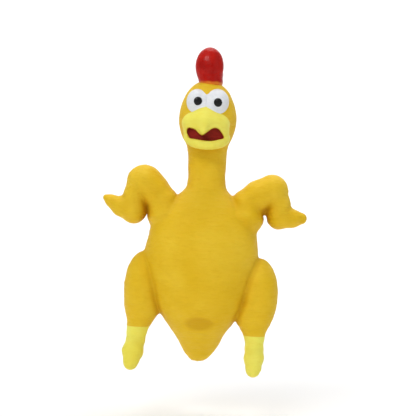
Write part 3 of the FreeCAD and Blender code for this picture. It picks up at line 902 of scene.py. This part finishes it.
for name in ("torso", "neck", "head"):
    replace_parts(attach(skins[f"{name}_skin"], name), name)
for name, joint, first, last, nodes in (
    ("belly", "belly_press", (0, BELLY_BEND[0], BELLY_HEIGHT), (0, BELLY_BEND[1], BELLY_HEIGHT),
     ["belly_press_patch", "belly_rim_flex"]),
    ("neck_base", "neck_bend", (0, 0, NECK_BEND[0]), (0, 0, NECK_BEND[1]), ["neck_base_flex"]),
    ("throat", "head_sway", (0, 0, THROAT_BEND[0]), (0, 0, THROAT_BEND[1]), ["throat_flex"]),
):
    bent(skins[f"{name}_skin"], joint, first, last)
    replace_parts(skins[f"{name}_skin"], *nodes)
for side in SIDES:
    for name, node in (("wing", "wing"), ("wingtip", "wingtip"), ("leg", "thigh"), ("foot", "foot")):
        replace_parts(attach(skins[f"{side}_{name}_skin"], f"{side}_{name}"), f"{side}_{node}")
    for joint in ("shoulder", "wrist", "hip", "ankle"):
        piece = skins[f"{side}_{joint}_skin"]
        bent(piece, f"{side}_{joint}", *bend_points(side, joint)[0])
        shank = [f"{side}_shank"] if joint == "ankle" else []
        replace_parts(piece, *shank, f"{side}_{joint}_flex")

# Comb
comb_field = Field((-14, -18, 178), (14, 22, 213), FINE_STEP).draw(comb)
p, q = comb_field.mesh()
n = vertex_normals(p, q)
p = p + n * (0.16 * noise(p, (7, 7, 6), 21) * smoothstep((p[:, 2] - 187.0) / 4.0))[:, None]
# The comb keeps how closed in its points are, for the shade painted into its red.
comb_piece = make("comb_skin", p, q, RED, None, shade(comb_field, p, n))
bent(comb_piece, "comb_wobble", (0, 0, COMB_BEND[0]), (0, 0, COMB_BEND[1]))
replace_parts(comb_piece, "comb", "comb_root_flex")

# Beak
beak_field = Field((-20, -34, 139), (20, 0, 175), FINE_STEP).draw(beak)
x, y, z = beak_field.grid()
inside_head = stacked(TRUNK, x, y, z) + 2.4
whole_beak = beak_field.d.copy()
beak_field.d = np.maximum(whole_beak, -inside_head).astype(np.float32)
p, q = beak_field.mesh()
n = vertex_normals(p, q)
beak_field.d = whole_beak
# How closed in the beak's points are, for the shade painted into the beak and the mouth.
beak_painted_shades = shade(beak_field, p, n)
p = p + n * (0.10 * noise(p, (6, 6, 4), 31))[:, None]
lip_distance = outline_distance(MOUTH, p[:, 0], p[:, 2])
upper = p[q].mean(axis=1)[:, 2] > BEAK_PARTING
for name, rows, node in (("upper_beak_skin", upper, "upper_beak"), ("lower_beak_skin", ~upper, "lower_beak")):
    piece = shell(name, p, n, beak_painted_shades, q[rows].tolist(), BEAK_LEMON, BEAK_WALL, lip_distance)
    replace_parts(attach(piece, "head"), node)


def first_surface(grid_field, x, z):
    """The Y at which a line coming from the front meets the surface, for each X and height."""
    step, margin = 0.2, 0.5
    ys = np.arange(grid_field.axes[1][0] + margin, grid_field.axes[1][-1] - margin, step)
    many = np.stack(np.broadcast_arrays(x[:, None], ys[None, :], z[:, None]), axis=-1).reshape(-1, 3)
    d = grid_field.sample(many).reshape(len(x), len(ys))
    hit = np.argmax(d <= 0, axis=1)
    hit = np.clip(hit, 1, len(ys) - 1)
    a, b = d[np.arange(len(x)), hit - 1], d[np.arange(len(x)), hit]
    return ys[hit - 1] + step * np.clip(a / np.maximum(a - b, 1e-6), 0.0, 1.0)


def patch(name, middle, ring, rings, grid_field, lift, dome, depth, material):
    """A closed patch of paint on the front, laid on the surface as rings of points from its middle out."""
    ring = np.array(ring)
    shares = np.linspace(0, 1, rings + 1)[1:] ** 0.9
    flat = np.vstack([[middle]] + [np.array(middle) + (ring - middle) * share for share in shares])
    y = first_surface(grid_field, flat[:, 0], flat[:, 1])
    front = np.column_stack([flat[:, 0], y, flat[:, 1]])
    count = len(ring)
    fan = [[0, 1 + k, 1 + (k + 1) % count] for k in range(count)]
    strips = []
    for start in range(1, 1 + (rings - 1) * count, count):
        for k in range(count):
            after = (k + 1) % count
            strips.append([start + k, start + count + k, start + count + after, start + after])
    sheet = fan + strips
    share_of = np.concatenate([[0.0], np.repeat(shares, count)])
    n = np.zeros_like(front)
    for f in sheet:
        n[f] += np.cross(front[f[1]] - front[f[0]], front[f[2]] - front[f[0]])
    n /= np.maximum(np.linalg.norm(n, axis=1), 1e-9)[:, None]
    if n[:, 1].mean() > 0:
        n = -n
        sheet = [f[::-1] for f in sheet]
    rise = lift * (1.0 - share_of**10) + dome * np.sqrt(np.maximum(1.0 - share_of**2, 0.0))
    face = front + n * rise[:, None]
    return make(name, np.vstack([face, front - n * depth]), closed(sheet, len(face)), material)


# Mouth
inside = (lip_distance < -0.25)[q].all(axis=1) & (n[:, 1] < 0.6)[q].all(axis=1)
coat = p + n * MOUTH_COAT
mouth = shell("mouth_paint_skin", coat, n, beak_painted_shades, q[inside].tolist(), MOUTH_PAINT, MOUTH_WALL)
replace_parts(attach(mouth, "head"), "mouth_lining")

# Eyes
face_field = Field((-20, -30, 160), (20, 0, 188), FINE_STEP).draw(skin)


def eye_edge(x, z):
    """Distance to the edge of the two whites, which run together below the notch between them."""
    d = None
    for middle, up, half, tall in EYES.values():
        near = np.sqrt(((x - middle) / half) ** 2 + ((z - up) / tall) ** 2)
        white = (near - 1.0) * min(half, tall)
        d = white if d is None else smooth_min(d, white, 3.0)
    x_between, z_between, radius = EYES_BRIDGE
    return smooth_min(d, np.hypot(x - x_between, z - z_between) - radius, 2.0)


angles = np.linspace(0, 2 * math.pi, 120, endpoint=False)
for side, sign in SIDES.items():
    middle, up = EYES[side][:2]
    reach = np.linspace(0.0, 16.0, 641)
    ray_x = middle + np.cos(angles)[:, None] * reach
    ray_z = up + np.sin(angles)[:, None] * reach
    outside = (eye_edge(ray_x, ray_z) > 0) | (sign * (ray_x - EYES_MEET) < 0)
    far = reach[np.argmax(outside, axis=1)]
    ring = np.column_stack([middle + far * np.cos(angles), up + far * np.sin(angles)])
    eye = patch(f"{side}_eye_paint", (middle, up), ring, 16, face_field, 0.32, 0.0, 0.4, EYE_PAINT)
    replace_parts(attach(eye, "head"), f"{side}_eye")
    middle, up, radius = PUPILS[side]
    ring = np.column_stack([middle + radius * np.cos(angles), up + radius * 1.06 * np.sin(angles)])
    pupil = patch(f"{side}_pupil_paint", (middle, up), ring, 8, face_field, 0.55, 0.3, 0.1, PUPIL_PAINT)
    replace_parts(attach(pupil, "head"), f"{side}_pupil")

# Stuffing
def stuffing(name, low, high, edges, node):
    """Fibre that fills the skin inside the given edges, each a function that is positive outside."""
    grid_field = Field(low, high, FILL_STEP).draw(lambda x, y, z: skin(x, y, z) + STUFFING_DEPTH)
    x, y, z = grid_field.grid()
    for edge in edges:
        grid_field.d = smooth_max(grid_field.d, edge(x, y, z) + 0 * grid_field.d, 2.5)
    p, q = grid_field.mesh()
    n = vertex_normals(p, q)
    p = p - n * (LUMP * (1.0 + noise(p, (5, 5, 4), 41)) / 2)[:, None]
    piece = make(name, p, q, FIBRE)
    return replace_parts(piece, node)


def hip_edge(side, way):
    """The stuffing's edge at the hip's plane: way is 1 for the trunk's and -1 for the thigh's."""
    return lambda x, y, z: way * past_hip(SIDES[side] * x, z) + 1.2


def squeaker_edge(x, y, z):
    """Room round the squeaker's collar and bore."""
    away = np.sqrt((x - SQUEAKER[0]) ** 2 + (z - SQUEAKER[1]) ** 2)
    return np.minimum(BORE_RADIUS + 2.2 - away, y - BORE_FLOOR + 2.6)


torso_fill = stuffing(
    "torso_fibre", (-44, -36, 4), (44, 32, 120),
    [lambda x, y, z: z - 115.0, lambda x, y, z: 12.5 - z, hip_edge("right", 1), hip_edge("left", 1),
     squeaker_edge, lambda x, y, z: SHOULDER_WAY[0] * np.abs(x) + SHOULDER_WAY[1] * z - 87.0],
    "torso_stuffing")
bent(torso_fill, "belly_press", (0, FILL_BEND[0], BELLY_HEIGHT), (0, FILL_BEND[1], BELLY_HEIGHT))
neck_fill = stuffing(
    "neck_fibre", (-20, -20, 120), (20, 20, 142),
    [lambda x, y, z: z - 135.2, lambda x, y, z: 126.8 - z], "neck_stuffing")
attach(neck_fill, "neck")
head_fill = stuffing(
    "head_fibre", (-24, -30, 140), (24, 26, 192),
    [lambda x, y, z: z - 184.5, lambda x, y, z: 147.0 - z], "head_stuffing")
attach(head_fill, "head")
for side, sign in SIDES.items():
    low, high = sorted((sign * 22, sign * 58))
    fill = stuffing(f"{side}_thigh_fibre", (low, -26, 18), (high, 20, 84),
                    [hip_edge(side, -1), lambda x, y, z: 31.0 - z], f"{side}_thigh_stuffing")
    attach(fill, f"{side}_leg")

# Squeaker
for node in ("squeaker_shell", "squeaker_cover", "reed_trough", "reed_clamp", "reed"):
    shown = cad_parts[node]
    material = REED if node == "reed" else PLASTIC
    if not shown.data.materials:
        shown.data.materials.append(material)
    for i in range(len(shown.material_slots)):
        shown.material_slots[i].link = "OBJECT"
        shown.material_slots[i].material = material

# Stage
scene = bpy.context.scene
scene.view_settings.view_transform = "Standard"
low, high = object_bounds()


def cyclorama():
    """A pale floor that sweeps up into a wall far behind."""
    floor = low.z - FLOOR_DROP
    turn, wall, half = 1.2, 2.6, 5.0
    profile = [(-4.0, floor), (wall - turn, floor)]
    for a in np.linspace(0.1, math.pi / 2, 16):
        profile.append((wall - turn + turn * math.sin(a), floor + turn * (1 - math.cos(a))))
    profile.append((wall, 5.0))
    verts = [(x, y, z) for y, z in profile for x in (-half, half)]
    quads = [(2 * i, 2 * i + 1, 2 * i + 3, 2 * i + 2) for i in range(len(profile) - 1)]
    mesh = bpy.data.meshes.new("studio_sweep")
    mesh.from_pydata(verts, [], quads)
    mesh.shade_smooth()
    m = Nodes("studio_white", Roughness=0.9, Specular_IOR_Level=0.1)
    m.shader.inputs["Base Color"].default_value = (0.92, 0.92, 0.92, 1.0)
    mesh.materials.append(m.material)
    sweep = bpy.data.objects.new("studio_sweep", mesh)
    scene.collection.objects.link(sweep)


cyclorama()
world = bpy.data.worlds.new("studio_world")
world.use_nodes = True
world.node_tree.nodes["Background"].inputs["Color"].default_value = (1.0, 1.0, 1.0, 1.0)
world.node_tree.nodes["Background"].inputs["Strength"].default_value = 0.46
scene.world = world


def area_light(name, at, aim, size, power):
    lamp = bpy.data.lights.new(name, "AREA")
    lamp.shape = "RECTANGLE"
    lamp.size, lamp.size_y = size
    lamp.energy = power
    holder = bpy.data.objects.new(name, lamp)
    holder.location = at
    holder.rotation_euler = (Vector(aim) - Vector(at)).to_track_quat("-Z", "Y").to_euler()
    scene.collection.objects.link(holder)


middle = (low + high) / 2
area_light("key", (-0.5, -1.1, 1.0), middle, (0.7, 0.5), 7.4)
area_light("fill", (1.1, -0.9, 0.5), middle, (0.8, 0.8), 0.8)
area_light("top", (0.0, 0.1, 1.3), middle, (0.8, 0.7), 5.5)
area_light("wall_wash", (0.0, 1.0, 1.8), (0.0, 2.6, 0.2), (3.0, 1.0), 36.0)

# Camera
LENS = 100.0
SENSOR = 36.0
VIEW_WIDTH = 266.2  # millimetres across the picture, at the bird
AXIS = (2.8, 106.3)
ROLL = math.radians(2.7)
camera = bpy.data.cameras.new("camera")
camera.lens, camera.sensor_width = LENS, SENSOR
camera.clip_start, camera.clip_end = 0.05, 50.0
view = bpy.data.objects.new("camera", camera)
view.location = Vector(place((AXIS[0], -LENS / SENSOR * VIEW_WIDTH, AXIS[1])))
view.rotation_euler = (Matrix.Rotation(math.radians(90), 3, "X") @ Matrix.Rotation(ROLL, 3, "Z")).to_euler()
scene.collection.objects.link(view)
scene.camera = view
